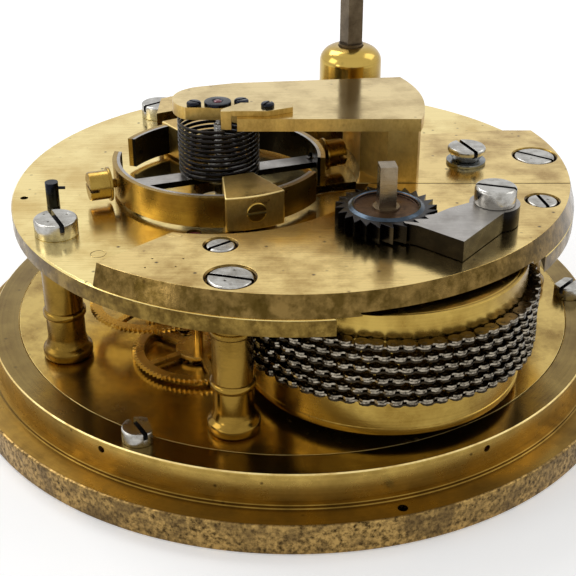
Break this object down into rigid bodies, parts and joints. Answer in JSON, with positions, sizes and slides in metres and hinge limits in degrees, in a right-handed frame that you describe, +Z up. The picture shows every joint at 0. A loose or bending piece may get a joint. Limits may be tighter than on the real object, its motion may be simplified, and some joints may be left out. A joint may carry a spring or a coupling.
{
  "type": "deck chronometer movement",
  "caption": "Deck chronometer movement in a flanged brass mounting ring, with fusee and chain, cut bimetallic balance under a cock, helical hairspring, set-up ratchet and dial",
  "frame": {"origin": "the mounting ring's axis at its flat underside", "axes": "+Z up, away from the dial, along the ring's axis; +X to the right seen from the barrel side; the dial faces -Z"},
  "size_m": [0.09, 0.09, 0.05],
  "materials": {
    "lacquered_brass": "fine straight grain, clear lacquer",
    "turned_brass": "turned, satin",
    "ring_brass": "machined, mirror-like turned edge",
    "polished_steel": "polished",
    "grey_steel": "fine grained",
    "blued_steel": "heat blued, polished",
    "black_steel": "dark tempered",
    "brown_steel": "aged, oiled",
    "chain_steel": "dark, oiled",
    "ruby": "polished ruby",
    "silvered": "silvered, matt"
  },
  "bodies": {
    "movement": {"mounting_ring": "ring_brass", "dog_screws": "polished_steel", "pillar_plate": "ring_brass", "pillars": "turned_brass", "back_plate": "lacquered_brass", "barrel_bar": "lacquered_brass", "rear_bridge": "lacquered_brass", "fusee_bar": "lacquered_brass", "winding_boss": "turned_brass", "bridge_screws": "polished_steel", "plate_screws": "polished_steel", "collar_screw": "polished_steel", "collar_washer": "blued_steel", "pillar_screws": "polished_steel", "stop_pin": "blued_steel", "balance_cock": "lacquered_brass", "endstone_cap": "blued_steel", "blued_screws": "blued_steel", "jewels": "ruby", "stud_clamp": "lacquered_brass", "detent_foot": "turned_brass", "potence": "turned_brass", "barrel_arbor": "brown_steel", "ratchet_wheel": "black_steel", "click_screw": "polished_steel", "dial": "silvered"},
    "balance": {"balance_arm": "grey_steel", "balance_rim": "turned_brass", "balance_weights": "turned_brass", "weight_screws": "polished_steel", "timing_nuts": "turned_brass", "balance_staff": "polished_steel", "rollers": "grey_steel", "hairspring": "blued_steel"},
    "escape": {"escape_wheel": "turned_brass"},
    "fourth": {"fourth_wheel": "lacquered_brass", "seconds_hand": "blued_steel"},
    "third": {"third_wheel": "lacquered_brass"},
    "centre": {"centre_wheel": "lacquered_brass", "cannon_pinion": "grey_steel", "minute_hand": "blued_steel"},
    "great": {"great_wheel": "lacquered_brass", "maintaining_wheel": "grey_steel"},
    "fusee": {"fusee_cone": "turned_brass", "fusee_arbor": "brown_steel", "chain_on_fusee": "chain_steel", "chain_run": "chain_steel"},
    "barrel": {"barrel": "turned_brass", "barrel_cap": "turned_brass", "mainspring": "grey_steel", "chain_on_barrel": "chain_steel"},
    "minute_motion": {"minute_wheel": "turned_brass"},
    "hour": {"hour_wheel": "turned_brass", "hour_hand": "blued_steel"},
    "up_down": {"up_down_wheel": "turned_brass", "up_down_hand": "blued_steel"},
    "click": {"click": "grey_steel"},
    "detent": {"detent": "grey_steel"},
    "stop_arm": {"fusee_stop_arm": "grey_steel"},
    "maintaining_click": {"maintaining_click": "grey_steel"}
  },
  "joints": [
    {"name": "great_turn", "type": "hinge", "parent": "movement", "child": "great", "pos_m": [0.0083, 0.0175, 0.0095], "axis": [0, 0, 1], "continuous": true},
    {"name": "centre_turn", "type": "hinge", "parent": "movement", "child": "centre", "pos_m": [0, 0, 0.0095], "axis": [0, 0, 1], "continuous": true},
    {"name": "third_turn", "type": "hinge", "parent": "movement", "child": "third", "pos_m": [-0.0121, -0.0155, 0.009], "axis": [0, 0, 1], "continuous": true},
    {"name": "fourth_turn", "type": "hinge", "parent": "movement", "child": "fourth", "pos_m": [-0.01841, -0.00862, 0.0126], "axis": [0, 0, 1], "continuous": true},
    {"name": "escape_turn", "type": "hinge", "parent": "movement", "child": "escape", "pos_m": [-0.0187, 0.0006, 0.0212], "axis": [0, 0, 1], "continuous": true},
    {"name": "minute_motion_turn", "type": "hinge", "parent": "movement", "child": "minute_motion", "pos_m": [-0.00492, -0.00344, 0.005], "axis": [0, 0, 1], "continuous": true},
    {"name": "hour_turn", "type": "hinge", "parent": "movement", "child": "hour", "pos_m": [0, 0, 0.0045], "axis": [0, 0, 1], "continuous": true},
    {"name": "winding", "type": "hinge", "parent": "movement", "child": "fusee", "pos_m": [0.0083, 0.0175, 0.02], "axis": [0, 0, 1], "range_deg": [-720, 1800], "deforming": ["chain_run"]},
    {"name": "barrel_turn", "type": "hinge", "parent": "movement", "child": "barrel", "pos_m": [0.011, -0.0187, 0.017], "axis": [0, 0, 1], "range_deg": [-720, 1800]},
    {"name": "up_down_turn", "type": "hinge", "parent": "movement", "child": "up_down", "pos_m": [0.01841, 0.00862, 0.0048], "axis": [0, 0, 1], "range_deg": [-300, 300]},
    {"name": "balance_swing", "type": "hinge", "parent": "movement", "child": "balance", "pos_m": [-0.0096, -0.0014, 0.028], "axis": [0, 0, 1], "range_deg": [-270, 270], "stiffness_Nm_per_rad": 0.00011, "deforming": ["hairspring"]},
    {"name": "click_lift", "type": "hinge", "parent": "movement", "child": "click", "pos_m": [0.0239, -0.0181, 0.0295], "axis": [0, 0, 1], "range_deg": [0, 12]},
    {"name": "detent_flex", "type": "hinge", "parent": "movement", "child": "detent", "pos_m": [-0.02276, -0.00894, 0.0205], "axis": [0, 0, 1], "range_deg": [-2, 0]},
    {"name": "stop_arm_lift", "type": "hinge", "parent": "movement", "child": "stop_arm", "pos_m": [-0.00585, 0.01874, 0.02204], "axis": [-0.0872, -0.9962, 0], "range_deg": [0, 3]},
    {"name": "maintaining_click_lift", "type": "hinge", "parent": "movement", "child": "maintaining_click", "pos_m": [-0.00595, 0.02946, 0.0105], "axis": [0, 0, 1], "range_deg": [-4, 0]}
  ],
  "couplings": [
    {"joint": "great_turn", "follows": "fourth_turn", "ratio": -0.0024306},
    {"joint": "centre_turn", "follows": "fourth_turn", "ratio": 0.016667},
    {"joint": "third_turn", "follows": "fourth_turn", "ratio": -0.125},
    {"joint": "escape_turn", "follows": "fourth_turn", "ratio": -8},
    {"joint": "minute_motion_turn", "follows": "fourth_turn", "ratio": -0.0055556},
    {"joint": "hour_turn", "follows": "fourth_turn", "ratio": 0.0013889},
    {"joint": "barrel_turn", "follows": "winding", "ratio": 0.7},
    {"joint": "up_down_turn", "follows": "winding", "ratio": -0.10769}
  ]
}
